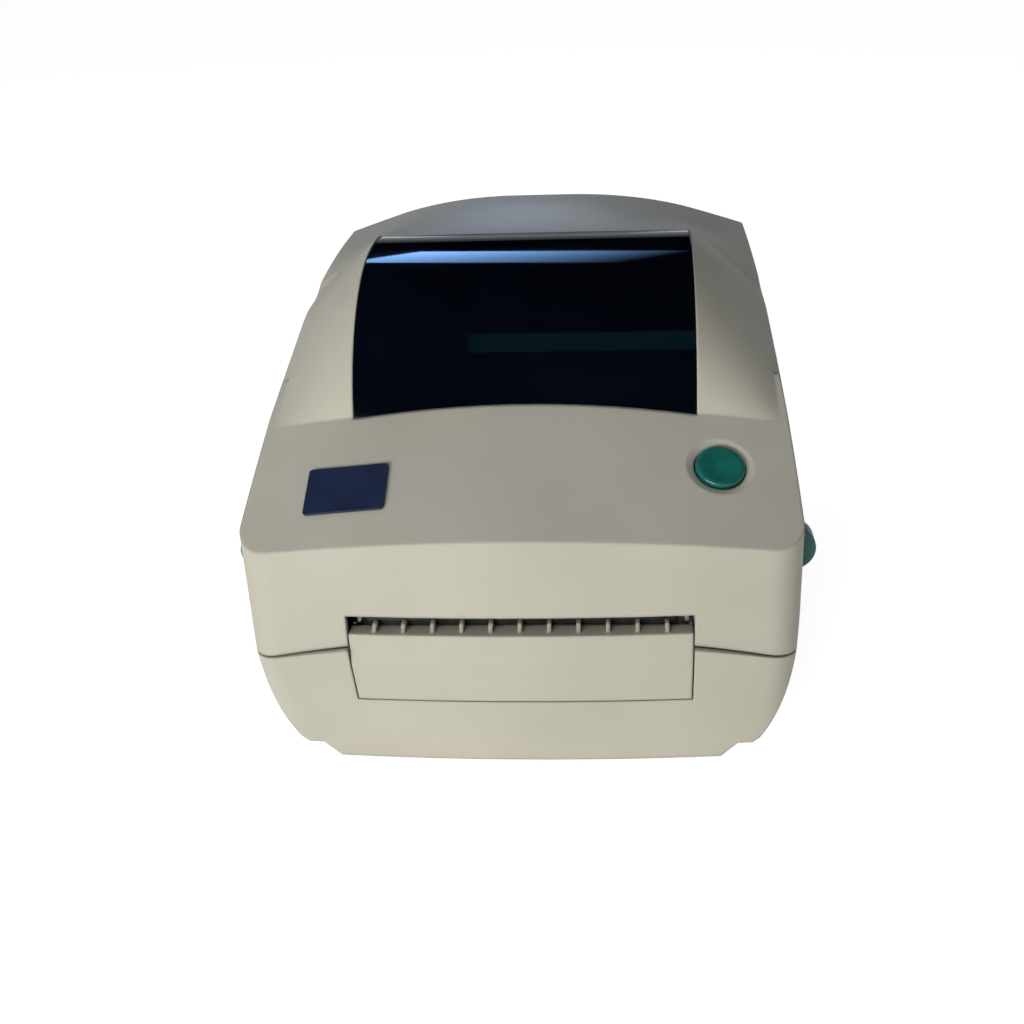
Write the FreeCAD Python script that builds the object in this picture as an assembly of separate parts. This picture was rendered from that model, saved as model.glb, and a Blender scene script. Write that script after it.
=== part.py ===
import FreeCAD, Part
import math
import os
from FreeCAD import Vector

os.makedirs("parts", exist_ok=True)

# casing
half_width = 100.0
rear_taper = 3.0
rear_half_width = half_width - rear_taper
front_y = -110.5
rear_y = 106.5
front_bow = 4.5
front_corner = 13.0
rear_corner = 8.0
wall = 2.5
parting_z = 50.5
seam_rise = 12.0
seam_depth = 24.0
parting_gap = 0.7
crown_z = 170.0
side_radius = 356.0
side_widest_z = 82.0
front_lean = 7.5
rear_round = 27.0

# deck, hump and shoulders of the top cover
brow_y = -105.5
brow_z = 98.2
deck_slope = 0.4625
deck_crown = 570.0
roll_y = 18.0
trough_radius = 67.5
trough_floor_z = 29.5
roll_z = trough_floor_z + trough_radius
hump_radius = 71.0
window_half = 64.5
window_top_y = 38.0
window_thick = 2.6
window_gap = 0.35
shoulder_inset = 5.0
shoulder_x = half_width - shoulder_inset
shoulder_join_y = -40.0
shoulder_radius = 310.0
crown_rise = 10.5
crown_y = 76.0

# base
floor_z = 1.5
base_undercut = 7.0
skirt_z = 8.5
skirt_inset = 12.8
skirt_half = half_width - skirt_inset
skirt_bulge = 2.3
plinth_inset = 14.2
plinth_half = skirt_half - plinth_inset
plinth_step = 6.0
base_floor = 2.5
foot_radius = 6.5
foot_inset = 17.0
foot_x = plinth_half - foot_inset
foot_y = 93.0

# label slot and bezel
slot_half = 61.6
slot_top_z = 70.0
bezel_bottom_z = 33.0
bezel_gap = 0.5
bezel_top_z = 63.0
bezel_lip = 9.0
rib_count = 11
rib_pitch = 10.4
rib_thick = 1.5
rib_top_z = 65.4

# rear hinge
hinge_radius = 4.0
hinge_pin = 2.0
hinge_inset = 31.0
hinge_x = rear_half_width - hinge_inset
knuckle = 12.0
knuckle_gap = 0.4

# running fits
running = 0.05
slide_gap = 0.3

# platen and gear train
platen_y = -90.0
platen_z = 57.0
platen_radius = 8.0
platen_half = 55.0
platen_shaft = 3.0
bush_radius = 5.0
plate_x = 58.4
plate_thick = 1.6
plate_front_y = -99.0
plate_rear_y = -46.0
plate_top_z = 69.5
gear_module = 0.6
pinion_teeth = 14
idler_teeth = 50
idler_small_teeth = 18
platen_teeth = 40
gear_width = 3.2
gear_backlash = 0.16
gear_angle = -50.0
idler_post = 2.0
motor_radius = 17.5
motor_length = 20.0
motor_shaft = 1.5

# print head
head_half = 53.0
head_pivot_y = -58.0
head_pivot_z = 84.0
head_pivot = 2.0
head_gap = 0.35
sink_thick = 6.0
head_front_y = -97.0
head_rear_y = -68.0
ear_thick = 4.0

# feed button and badge
button_x = 71.6
button_y = -70.6
button_radius = 9.0
button_gap = 0.4
button_proud = 2.2
dish_radius = 12.6
dish_depth = 1.5
badge_x = -62.0
badge_y = -80.0
badge_width = 29.5
badge_length = 20.0
badge_thick = 0.9
badge_proud = 0.35

# cover latches
latch_y = -72.0
latch_z = 62.0
latch_pin = 2.0
latch_inset = 15.0
latch_x = half_width - latch_inset
latch_thick = 5.0
latch_tab_z = 78.0
latch_tab_radius = 9.0
latch_tab_thick = 7.0
latch_proud = 7.0
latch_reach = half_width + latch_proud
latch_drop = 21.0
latch_nose = 11.0
catch_height = 4.0

# media hangers and guides
hanger_gap = 110.0
hanger_travel = 40.0
hanger_thick = 5.0
hub_radius = 12.0
hub_length = 7.0
tray_front_y = -61.5
chassis_gap = 9.5
chassis_half = half_width - wall - chassis_gap
chassis_thick = 2.5
deck_z = 57.0
rack_module = 1.0
rack_teeth = 16
rack_depth = 4.0
rack_width = 4.0
rack_backlash = 0.25
hanger_rack_z = 21.0
hanger_y = 18.0
guide_y = -60.0
guide_gap = 110.0
guide_travel = 35.0
guide_height = 7.0
guide_rack_z = 50.0
guide_rack_teeth = 12

# main board and rear sockets
board_z = 12.0
board_thick = 1.6
board_gap = 3.2
board_x0 = board_gap + wall - skirt_half
board_end_inset = 15.0
board_x1 = plinth_half - board_end_inset
board_y0 = 28.0
board_y1 = 102.0
parallel_inset = 31.5
parallel_x = board_x0 + parallel_inset
parallel_half = 33.0
serial_half = 15.4
usb_half = 6.0
jack_half = 5.5
switch_half_x = 10.0
switch_inset = 13.2
switch_x = skirt_half - switch_inset
serial_gap = 7.6
usb_gap = 4.6
jack_gap = 6.5
switch_gap = 8.5
socket_room = switch_x - switch_half_x - parallel_x - parallel_half - 2 * (serial_half + usb_half + jack_half)
gap_share = socket_room / (serial_gap + usb_gap + jack_gap + switch_gap)
serial_x = parallel_x + parallel_half + serial_gap * gap_share + serial_half
usb_x = serial_x + serial_half + usb_gap * gap_share + usb_half
jack_x = usb_x + usb_half + jack_gap * gap_share + jack_half
switch_z = 26.0
switch_tilt = 9.0
screw_radius = 1.5
screw_head = 2.8

parts = {}


def box(x0, x1, y0, y1, z0, z1):
    return Part.makeBox(x1 - x0, y1 - y0, z1 - z0, Vector(x0, y0, z0))


def cyl_x(x0, x1, y, z, r):
    return Part.makeCylinder(r, x1 - x0, Vector(x0, y, z), Vector(1, 0, 0))


def cyl_y(y0, y1, x, z, r):
    return Part.makeCylinder(r, y1 - y0, Vector(x, y0, z), Vector(0, 1, 0))


def cyl_z(z0, z1, x, y, r):
    return Part.makeCylinder(r, z1 - z0, Vector(x, y, z0), Vector(0, 0, 1))


def mirrored(shape):
    return shape.mirror(Vector(0, 0, 0), Vector(1, 0, 0))


def joined(first, *others):
    return first.multiFuse(list(others)).removeSplitter()


def both_sides(shape):
    return Part.makeCompound([shape, mirrored(shape)])


def prism_x(points, x0, x1):
    corners = [Vector(x0, y, z) for y, z in points]
    face = Part.Face(Part.makePolygon(corners + corners[:1]))
    return face.extrude(Vector(x1 - x0, 0, 0))


def prism_z(points, z0, z1):
    corners = [Vector(x, y, z0) for x, y in points]
    face = Part.Face(Part.makePolygon(corners + corners[:1]))
    return face.extrude(Vector(0, 0, z1 - z0))


def ring_x(x0, x1, y, z, outer, inner):
    return cyl_x(x0, x1, y, z, outer).cut(cyl_x(x0 - 1, x1 + 1, y, z, inner))


def one_solid(shape):
    return max(shape.Solids, key=lambda solid: solid.Volume)


def rounded_plate(width, length, thick, corner):
    plate = Part.makeBox(width, length, thick, Vector(-width / 2, -length / 2, 0))
    upright = [e for e in plate.Edges if abs(e.tangentAt(e.FirstParameter).z) > 0.9]
    return plate.makeFillet(corner, upright)


# outline of the casing seen from above and from the front
def plan_wire(z, front, inset):
    left = Vector(inset - half_width, front + front_bow, z)
    right = Vector(half_width - inset, front + front_bow, z)
    rear_right = Vector(rear_half_width - inset, rear_y - inset, z)
    rear_left = Vector(inset - rear_half_width, rear_y - inset, z)
    bow = Part.Arc(left, Vector(0, front, z), right).toShape()
    sides = [(right, rear_right), (rear_right, rear_left), (rear_left, left)]
    return Part.Wire([bow] + [Part.makeLine(a, b) for a, b in sides])


def plan_body(low, low_front, high, high_front, inset):
    wires = [plan_wire(low, low_front + inset, inset), plan_wire(high, high_front + inset, inset)]
    body = Part.makeLoft(wires, True, True)
    for sign, corner in ((-1, front_corner), (1, rear_corner)):
        edges = []
        for edge in body.Edges:
            tall = edge.BoundBox.ZLength > 0.9 * (high - low)
            if tall and sign * edge.CenterOfMass.y > 30:
                edges.append(edge)
        body = body.makeFillet(corner - inset, edges)
    return body


def side_x(z, inset):
    lean = side_radius - math.sqrt(side_radius ** 2 - (z - side_widest_z) ** 2)
    return half_width - inset - lean


def front_at(z):
    return front_y + (z - parting_z) * math.tan(math.radians(front_lean))


def deck_z_at(x, y):
    drop = deck_crown - math.sqrt(deck_crown ** 2 - x ** 2)
    return brow_z + deck_slope * (y - brow_y) - drop


def deck_normal(x):
    return Vector(x / deck_crown, -deck_slope, 1).normalize()


def shoulder_z(y):
    angle = math.atan(deck_slope)
    centre_y = shoulder_join_y + shoulder_radius * math.sin(angle)
    centre_z = deck_z_at(shoulder_x, shoulder_join_y) - shoulder_radius * math.cos(angle)
    return centre_z + math.sqrt(shoulder_radius ** 2 - (min(y, centre_y) - centre_y) ** 2)


def envelope(inset):
    low = parting_z - 6
    high = crown_z + 5
    body = plan_body(low, front_at(low), high, front_at(high), inset)
    heights = (low, (low + high) / 2, high)
    right = [Vector(side_x(z, inset), front_y - 10, z) for z in heights]
    left = [Vector(-p.x, p.y, p.z) for p in right]
    edges = [Part.Arc(*right).toShape(), Part.makeLine(right[2], left[2])]
    edges += [Part.Arc(left[2], left[1], left[0]).toShape(), Part.makeLine(left[0], right[0])]
    body = body.common(Part.Face(Part.Wire(edges)).extrude(Vector(0, rear_y - front_y + 20, 0)))
    back = rear_y - inset
    top = crown_z + 0.5 - inset
    round_r = rear_round - inset
    bend = round_r * (1 - math.sqrt(0.5))
    x0 = -half_width - 10
    start = Vector(x0, back - round_r, top)
    middle = Vector(x0, back - bend, top - bend)
    end = Vector(x0, back, top - round_r)
    corners = [end, Vector(x0, back, low - 5), Vector(x0, front_y - 20, low - 5)]
    corners += [Vector(x0, front_y - 20, top), start]
    edges = [Part.Arc(start, middle, end).toShape()]
    edges += [Part.makeLine(a, b) for a, b in zip(corners, corners[1:])]
    return body.common(Part.Face(Part.Wire(edges)).extrude(Vector(2 * half_width + 20, 0, 0)))


def deck_body(inset):
    drop = inset * math.sqrt(1 + deck_slope ** 2)
    start = front_y - 8
    run = roll_y - 42 - start
    reach = half_width + 10
    middle = Vector(0, start, deck_z_at(0, start) - drop)
    right = Vector(reach, start, deck_z_at(reach, start) - drop)
    left = Vector(-reach, start, right.z)
    low_right = Vector(reach, start, -80)
    low_left = Vector(-reach, start, -80)
    edges = [Part.Arc(left, middle, right).toShape(), Part.makeLine(right, low_right)]
    edges += [Part.makeLine(low_right, low_left), Part.makeLine(low_left, left)]
    return Part.Face(Part.Wire(edges)).extrude(Vector(0, run, deck_slope * run))


def hump_wire(y, z, rise, outer_z):
    reach = half_width + 8
    low = parting_z - 12
    left = Vector(-window_half, y, z)
    right = Vector(window_half, y, z)
    corners = [right, Vector(reach, y, outer_z), Vector(reach, y, low)]
    corners += [Vector(-reach, y, low), Vector(-reach, y, outer_z), left]
    edges = [Part.Arc(left, Vector(0, y, z + rise), right).toShape()]
    edges += [Part.makeLine(a, b) for a, b in zip(corners, corners[1:])]
    return Part.Wire(edges)


def strip_end(y, z, inset):
    slope = max((z - shoulder_z(y)) / (shoulder_x - window_half), 0.05)
    reach = half_width + 8 - shoulder_x
    return shoulder_z(y) - inset * math.sqrt(1 + slope ** 2) - slope * reach


def hump_body(inset):
    wires = []
    last = -math.degrees(math.asin((window_top_y - roll_y) / hump_radius))
    for angle in (80, 70, 58, 45, 30, 15, 0, last):
        sine = math.sin(math.radians(angle))
        cosine = math.cos(math.radians(angle))
        radius = hump_radius - inset
        outer_z = strip_end(roll_y - hump_radius * sine, roll_z + hump_radius * cosine, inset)
        wires.append(hump_wire(roll_y - radius * sine, roll_z + radius * cosine, 0.3, outer_z))
    rear_edge = crown_z - crown_rise
    front_edge = roll_z + math.sqrt(hump_radius ** 2 - (window_top_y - roll_y) ** 2)
    front = Part.makeLoft(wires, True, False)
    rear_wires = wires[-1:]
    for share in (0.25, 0.5, 0.75, 1.0):
        blend = share * share * (3 - 2 * share)
        y = window_top_y + share * (crown_y - window_top_y)
        z = front_edge + blend * (rear_edge - front_edge)
        rise = 0.3 + blend * (crown_rise - 0.3)
        rear_wires.append(hump_wire(y, z - inset, rise, strip_end(y, z, inset)))
    for y in (crown_y + 12, rear_y + 6):
        rear_wires.append(hump_wire(y, rear_edge - inset, crown_rise, strip_end(y, rear_edge, inset)))
    return front.fuse(Part.makeLoft(rear_wires, True, False))


def cover_form(inset):
    return one_solid(deck_body(inset).fuse(hump_body(inset)).common(envelope(inset)))


def side_outline(inset):
    y = front_y - 10
    foot = floor_z + (base_floor if inset else 0)
    top = parting_z + seam_rise + 4
    waist = side_x(parting_z, inset)
    skirt = skirt_half - inset
    ledge = skirt_z + inset
    chord = (waist - skirt) / (parting_z - skirt_z - 2.5)
    middle = Vector((waist + skirt) / 2 + skirt_bulge, y, (parting_z + ledge + 2.5) / 2 - chord)
    start = Vector(skirt, y, ledge + 2.5)
    points = [Vector(plinth_half - inset, y, foot), Vector(plinth_half + plinth_step - inset, y, ledge)]
    points += [Vector(skirt - 2.5, y, ledge), start]
    arc = Part.Arc(start, middle, Vector(waist, y, parting_z)).toShape()
    edges = [Part.makeLine(a, b) for a, b in zip(points, points[1:])] + [arc]
    edges.append(Part.makeLine(Vector(waist, y, parting_z), Vector(waist, y, top)))
    other = [edge.mirror(Vector(0, 0, 0), Vector(1, 0, 0)) for edge in edges]
    bottom = Part.makeLine(Vector(inset - plinth_half, y, foot), points[0])
    lid = Part.makeLine(Vector(waist, y, top), Vector(-waist, y, top))
    return Part.Wire(Part.__sortEdges__(edges + other + [bottom, lid]))


def below_seam(lift):
    reach = side_x(parting_z, 0)
    start = front_y - 12
    low = parting_z + lift
    left = Vector(-reach - 6, start, low)
    right = Vector(reach + 6, start, low)
    corner_left = Vector(-reach, start, low)
    corner_right = Vector(reach, start, low)
    arch = Part.Arc(corner_left, Vector(0, start, low + seam_rise), corner_right).toShape()
    floor_right = Vector(reach + 6, start, -20)
    floor_left = Vector(-reach - 6, start, -20)
    edges = [Part.makeLine(left, corner_left), arch, Part.makeLine(corner_right, right)]
    corners = [right, floor_right, floor_left, left]
    edges += [Part.makeLine(a, b) for a, b in zip(corners, corners[1:])]
    face = Part.Face(Part.Wire(edges))
    front = face.extrude(Vector(0, seam_depth + 12, 0))
    return front.fuse(box(-120, 120, front_y - 12, rear_y + 20, -20, low))


def base_form(inset):
    low = floor_z - 5
    high = parting_z + 15
    rate = base_undercut / (parting_z - floor_z)
    front_low = front_y + (parting_z - low) * rate
    front_high = front_y + (parting_z - high) * rate
    body = plan_body(low, front_low, high, front_high, inset)
    section = Part.Face(side_outline(inset)).extrude(Vector(0, rear_y - front_y + 20, 0))
    return one_solid(body.common(section))


def involute_gear(teeth, x0, width, bore):
    pitch = gear_module * teeth / 2
    base = pitch * math.cos(math.radians(20))
    tip = pitch + gear_module
    root = pitch - 1.25 * gear_module
    half_tooth = math.pi / (2 * teeth) - gear_backlash / (2 * pitch)
    pressure = math.tan(math.radians(20)) - math.radians(20)

    def flank(radius):
        turn = math.acos(min(1.0, base / max(radius, base)))
        return half_tooth + pressure - (math.tan(turn) - turn)

    radii = [root, max(base, root + 0.05), pitch, tip]
    points = []
    for tooth in range(teeth):
        centre = 2 * math.pi * tooth / teeth
        for radius in radii:
            points.append((radius, centre - flank(radius)))
        for radius in reversed(radii):
            points.append((radius, centre + flank(radius)))
    corners = [Vector(x0, r * math.cos(a), r * math.sin(a)) for r, a in points]
    wheel = Part.Face(Part.makePolygon(corners + corners[:1])).extrude(Vector(width, 0, 0))
    return wheel.cut(cyl_x(x0 - 1, x0 + width + 1, 0, 0, bore)) if bore else wheel


def placed_gear(wheel, y, z, angle):
    turned = wheel.copy()
    turned.rotate(Vector(0, 0, 0), Vector(1, 0, 0), angle)
    turned.translate(Vector(0, y, z))
    return turned


def on_deck(shape, x, y):
    lifted = shape.copy()
    turn = FreeCAD.Rotation(Vector(0, 0, 1), deck_normal(x))
    lifted.Placement = FreeCAD.Placement(Vector(x, y, deck_z_at(x, y)), turn)
    return lifted


# platen and gear positions
step = math.radians(gear_angle)
drive_distance = gear_module * (idler_small_teeth + platen_teeth) / 2
motor_distance = gear_module * (pinion_teeth + idler_teeth) / 2
idler_y = platen_y + drive_distance * math.cos(step)
idler_z = platen_z + drive_distance * math.sin(step)
motor_y = idler_y + motor_distance * math.cos(step)
motor_z = idler_z + motor_distance * math.sin(step)
gear_x = plate_x + plate_thick + 1.8
far_gear_x = gear_x + gear_width + 0.6


# top cover
outer = cover_form(0)
cover = outer.cut(cover_form(wall))
cover = cover.cut(below_seam(parting_gap / 2))
opening = cyl_x(-window_half + 0.2, window_half - 0.2, roll_y, roll_z, hump_radius + 0.4)
opening = opening.cut(box(-120, 120, window_top_y, 200, 0, 300))
opening = opening.cut(box(-120, 120, -200, 200, 0, deck_z_at(window_half, -70)))
above = box(-window_half + 0.2, window_half - 0.2, roll_y - 0.8 * hump_radius, window_top_y,
            roll_z + 0.6 * hump_radius, 300)
cover = cover.cut(opening).cut(above)
seat_outer = hump_radius - window_thick - window_gap
rail = cyl_x(window_half - 4, window_half + 4.5, roll_y, roll_z, seat_outer)
rail = rail.cut(cyl_x(0, 100, roll_y, roll_z, seat_outer - 2.4))
rail = rail.common(box(0, 100, -200, window_top_y + 4, deck_z_at(window_half, -58), 300))
header = ring_x(-window_half - 1, window_half + 1, roll_y, roll_z, seat_outer, seat_outer - 2.4)
header = header.common(box(-100, 100, window_top_y - 4, window_top_y + 6, roll_z, 300))
header_web = box(-window_half, window_half, window_top_y + 2, window_top_y + 4.5, roll_z + 58, 300)
header_web = header_web.common(outer)
cover = cover.multiFuse([rail.common(outer), mirrored(rail).common(outer), header, header_web])
slot = box(-slot_half, slot_half, front_y - 10, front_y + 20, 0, slot_top_z)
cover = cover.cut(slot)

dish_flare = 2.2
dish_top = 1.5
dish_low = dish_radius - dish_depth * dish_flare
dish_high = dish_radius + dish_top * dish_flare
dish = Part.makeCone(dish_low, dish_high, dish_depth + dish_top, Vector(0, 0, -dish_depth))
collar = Part.makeCylinder(dish_radius, 5.0, Vector(0, 0, -6.0))
hole = Part.makeCylinder(button_radius + button_gap, 20, Vector(0, 0, -12))
cover = cover.fuse(on_deck(collar, button_x, button_y).common(outer))
for tool in (dish, hole):
    cover = cover.cut(on_deck(tool, button_x, button_y))
pocket_depth = badge_thick - badge_proud
pocket = rounded_plate(badge_width + 0.4, badge_length + 0.4, 4, 1.4)
pocket.translate(Vector(0, 0, -pocket_depth))
cover = cover.cut(on_deck(pocket, badge_x, badge_y))

# posts under the deck for the head mount and the button board
mount_depth = 9.0
mount_posts = [(x, y) for x in (-44, 44) for y in (-88, -64)]
for x, y in mount_posts:
    post = Part.makeCylinder(4.0, mount_depth - wall + 1, Vector(0, 0, -mount_depth))
    bore = Part.makeCylinder(screw_radius, 6.0, Vector(0, 0, -mount_depth - 0.5))
    normal = FreeCAD.Rotation(Vector(0, 0, 1), deck_normal(0))
    for shape in (post, bore):
        shape.Placement = FreeCAD.Placement(Vector(x, y, deck_z_at(x, y)), normal)
    cover = cover.fuse(post).cut(bore)
board_depth = 11.5
for y in (-14.5, 14.5):
    post = Part.makeCylinder(2.6, board_depth - wall + 1, Vector(0, y, -board_depth))
    cover = cover.fuse(on_deck(post, button_x, button_y).common(outer))
    bore = Part.makeCylinder(screw_radius - 0.3, 5.0, Vector(0, y, -board_depth - 0.5))
    cover = cover.cut(on_deck(bore, button_x, button_y))

# latch bosses and tab slots
latch_slot = box(half_width - 12, half_width + 10, latch_y - 9, latch_y + 5,
                 latch_tab_z - 8, latch_tab_z + 6)
boss = cyl_x(latch_x + latch_thick + 0.5, half_width, latch_y, latch_z, 5.0).common(outer)
boss = boss.cut(cyl_x(0, latch_x + latch_thick + 6, latch_y, latch_z, latch_pin))
slot_ring = latch_slot.common(outer)
cover = cover.cut(both_sides(slot_ring))
cover = cover.multiFuse([boss, mirrored(boss)])

# rear knuckles
lug = cyl_x(hinge_x - knuckle / 2, hinge_x + knuckle / 2, rear_y, parting_z, hinge_radius)
web = box(hinge_x - knuckle / 2, hinge_x + knuckle / 2, rear_y - wall, rear_y, parting_z, parting_z + 9)
cover_lug = joined(lug, web)
pin_bore = cyl_x(0, 120, rear_y, parting_z, hinge_pin + running)
side_lugs = []
for side in (-1, 1):
    x0 = hinge_x + side * (knuckle + knuckle_gap) - knuckle / 2
    barrel = cyl_x(x0, x0 + knuckle, rear_y, parting_z, hinge_radius)
    foot = box(x0, x0 + knuckle, rear_y - wall, rear_y, parting_z - 9, parting_z)
    side_lugs.append(joined(barrel, foot))
    relief = cyl_x(x0 - 0.3, x0 + knuckle + 0.3, rear_y, parting_z, hinge_radius + 0.5)
    cover = cover.cut(both_sides(relief))
cover = cover.multiFuse([cover_lug, mirrored(cover_lug)])
cover = cover.cut(both_sides(pin_bore))
parts["top_cover"] = one_solid(cover.removeSplitter())

# tinted window
start_z = deck_z_at(window_half, -60)
pane = ring_x(-window_half + window_gap + 0.2, window_half - window_gap - 0.2, roll_y, roll_z,
              hump_radius, hump_radius - window_thick)
pane = pane.common(box(-100, 100, -200, window_top_y - window_gap, start_z, 300))
parts["window"] = one_solid(pane)

# bare badge plate
badge = rounded_plate(badge_width, badge_length, badge_thick, 1.2)
badge.translate(Vector(0, 0, -pocket_depth + 0.02))
parts["badge_plate"] = on_deck(badge, badge_x, badge_y)

# feed button with its board and switch
cap = Part.makeCylinder(button_radius, 7.0 + button_proud - dish_depth, Vector(0, 0, -7.0))
top_edges = [e for e in cap.Edges if abs(e.CenterOfMass.z - (button_proud - dish_depth)) < 0.01]
cap = cap.makeFillet(1.2, top_edges[:1])
dimple = Part.makeSphere(40.0, Vector(0, 0, 40.0 + button_proud - dish_depth - 0.6))
flange = Part.makeCylinder(button_radius + 1.8, 1.4, Vector(0, 0, -7.6))
stem = Part.makeCylinder(2.0, 1.2, Vector(0, 0, -8.6))
button = joined(cap.cut(dimple), flange, stem)
parts["feed_button"] = on_deck(button, button_x, button_y)
board = rounded_plate(17, 36, 1.2, 1.5)
board.translate(Vector(0, 0, -board_depth - 1.25))
for y in (-14.5, 14.5):
    board = board.cut(Part.makeCylinder(screw_radius, 6, Vector(0, y, -board_depth - 4)))
parts["button_board"] = on_deck(board, button_x, button_y)
switch = Part.makeBox(6, 6, 1.2, Vector(-3, -3, -board_depth))
plunger = Part.makeCylinder(1.6, 0.4, Vector(0, 0, -board_depth + 1.2))
parts["button_switch"] = on_deck(joined(switch, plunger), button_x, button_y)

# head mount under the deck
mount_turn = FreeCAD.Rotation(Vector(0, 0, 1), deck_normal(0))
mount_centre = Vector(0, -76, deck_z_at(44, -76))
mount = Part.makeBox(2 * head_half + 12, 38, 2.0, Vector(-head_half - 6, -19, -mount_depth - 2.05))
mount.Placement = FreeCAD.Placement(mount_centre, mount_turn)
ear_x = head_half + 0.6
ear = box(ear_x, ear_x + ear_thick, head_pivot_y - 6, head_pivot_y + 6, head_pivot_z - 5, 108)
under_mount = Part.makeBox(300, 300, 100, Vector(-150, -150, -mount_depth - 102.0))
under_mount.Placement = mount.Placement
ear = ear.common(under_mount).cut(cyl_x(0, 100, head_pivot_y, head_pivot_z, head_pivot))
mount = mount.multiFuse([ear, mirrored(ear)])
for x, y in mount_posts:
    bore = Part.makeCylinder(screw_radius + 0.2, 8, Vector(0, 0, -mount_depth - 6))
    bore.Placement = FreeCAD.Placement(Vector(x, y, deck_z_at(x, y)), mount_turn)
    mount = mount.cut(bore)
parts["head_mount"] = one_solid(mount.removeSplitter())
screws = []
for x, y in mount_posts:
    shank = Part.makeCylinder(screw_radius, 6.6, Vector(0, 0, -mount_depth - 2.1))
    head = Part.makeCylinder(screw_head, 1.8, Vector(0, 0, -mount_depth - 3.9))
    screw = joined(shank, head)
    screw.Placement = FreeCAD.Placement(Vector(x, y, deck_z_at(x, y)), mount_turn)
    screws.append(screw)
for y in (-14.5, 14.5):
    shank = Part.makeCylinder(screw_radius - 0.3, 5.4, Vector(0, y, -board_depth - 1.3))
    head = Part.makeCylinder(screw_head - 0.4, 1.4, Vector(0, y, -board_depth - 2.7))
    screws.append(on_deck(joined(shank, head), button_x, button_y))
parts["cover_screws"] = Part.makeCompound(screws)

# print head that floats on its pivot
pivot_end = ear_x + ear_thick
parts["head_pivot_shaft"] = cyl_x(-pivot_end, pivot_end, head_pivot_y, head_pivot_z, head_pivot)
line_z = platen_z + platen_radius + head_gap
sink_z = line_z + 1.4
sink = box(-head_half, head_half, head_front_y, head_rear_y, sink_z, sink_z + sink_thick)
for slot_index in range(6):
    y = head_front_y + 3.4 + slot_index * 4.2
    sink = sink.cut(box(-head_half - 1, head_half + 1, y, y + 2.0, sink_z + 3.0, sink_z + sink_thick + 1))
parts["head_heatsink"] = sink
substrate = box(-head_half, head_half, head_front_y, platen_y + 14, line_z + 0.4, sink_z)
glaze = cyl_x(-head_half + 1, head_half - 1, platen_y, line_z + 2.0, 2.0)
glaze = glaze.common(box(-100, 100, -200, 200, 0, sink_z))
parts["head_ceramic"] = joined(substrate, glaze)
arm_points = [(head_rear_y - 8, sink_z), (head_rear_y, sink_z), (head_pivot_y + 3, head_pivot_z - 3)]
arm_points += [(head_pivot_y + 3, head_pivot_z + 3), (head_pivot_y - 4, head_pivot_z + 3)]
arm_points += [(head_rear_y - 8, sink_z + sink_thick + 3)]
arm = prism_x(arm_points, head_half - 3, head_half).cut(parts["head_heatsink"])
arm = arm.cut(cyl_x(0, 100, head_pivot_y, head_pivot_z, head_pivot + running))
spine = box(-head_half + 3, head_half - 3, head_rear_y + 0.1, head_rear_y + 2.1, sink_z, sink_z + 10)
bracket = joined(arm, mirrored(arm), spine)
parts["head_bracket"] = one_solid(bracket)
plug = box(-14, 14, head_rear_y + 2.1, head_rear_y + 6.1, sink_z + 1, sink_z + 7)
parts["head_connector"] = plug.cut(box(-12, 12, head_rear_y + 3.1, head_rear_y + 7, sink_z + 2, sink_z + 6))

# side latches
lever_low = latch_z - latch_drop
lever = box(latch_x, latch_x + latch_thick, latch_y - 4, latch_y + 4, lever_low, latch_tab_z + 4)
lever = joined(lever, cyl_x(latch_x, latch_x + latch_thick, latch_y, latch_z, 6.0))
nose_top = lever_low + catch_height
nose_points = [(latch_y, nose_top), (latch_y - latch_nose, nose_top)]
nose_points += [(latch_y - latch_nose + 3, nose_top - 5), (latch_y, nose_top - 5)]
nose = prism_x(nose_points, latch_x, latch_x + latch_thick)
stalk = box(latch_x, latch_reach - 4, latch_y - 3, latch_y + 3, latch_tab_z - 5, latch_tab_z + 4)
tab = cyl_y(latch_y - latch_tab_thick / 2, latch_y + latch_tab_thick / 2, latch_reach - latch_tab_radius,
            latch_tab_z, latch_tab_radius)
tab = tab.common(box(half_width + 0.6, 2 * half_width, -200, 200, 0, 200))
lever = joined(lever, nose, stalk, tab).cut(cyl_x(0, half_width, latch_y, latch_z, latch_pin + running))
parts["latch_right"] = one_solid(lever)
parts["latch_left"] = mirrored(parts["latch_right"])
pin = cyl_x(latch_x - 1.2, latch_x + latch_thick + 5.8, latch_y, latch_z, latch_pin)
pin_head = cyl_x(latch_x - 2.2, latch_x - 0.4, latch_y, latch_z, latch_pin + 1.4)
parts["latch_pins"] = both_sides(joined(pin, pin_head))

# base shell
base = base_form(0).cut(base_form(wall))
base = base.common(below_seam(-parting_gap / 2))
bezel_seat = box(-slot_half, slot_half, front_y - 10, front_y + 14, bezel_bottom_z, parting_z + 20)
base = base.cut(bezel_seat)
lug_reach = knuckle / 2 + 0.3
lug_relief = cyl_x(hinge_x - lug_reach, hinge_x + lug_reach, rear_y, parting_z, hinge_radius + 0.5)
base = base.cut(both_sides(lug_relief))
for lug in side_lugs:
    base = base.multiFuse([lug, mirrored(lug)])
base = base.cut(both_sides(cyl_x(0, 120, rear_y, parting_z, hinge_pin)))
catch_z = nose_top + 0.4
catch_y = latch_y - latch_nose
catch = box(latch_x - 1, half_width, catch_y - 2, catch_y + 3.2, catch_z, catch_z + catch_height)
catch = catch.common(base_form(0))
base = base.multiFuse([catch, mirrored(catch)])

# sockets and their openings in the rear wall
board_top = board_z + board_thick
inside_y = rear_y - wall


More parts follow.
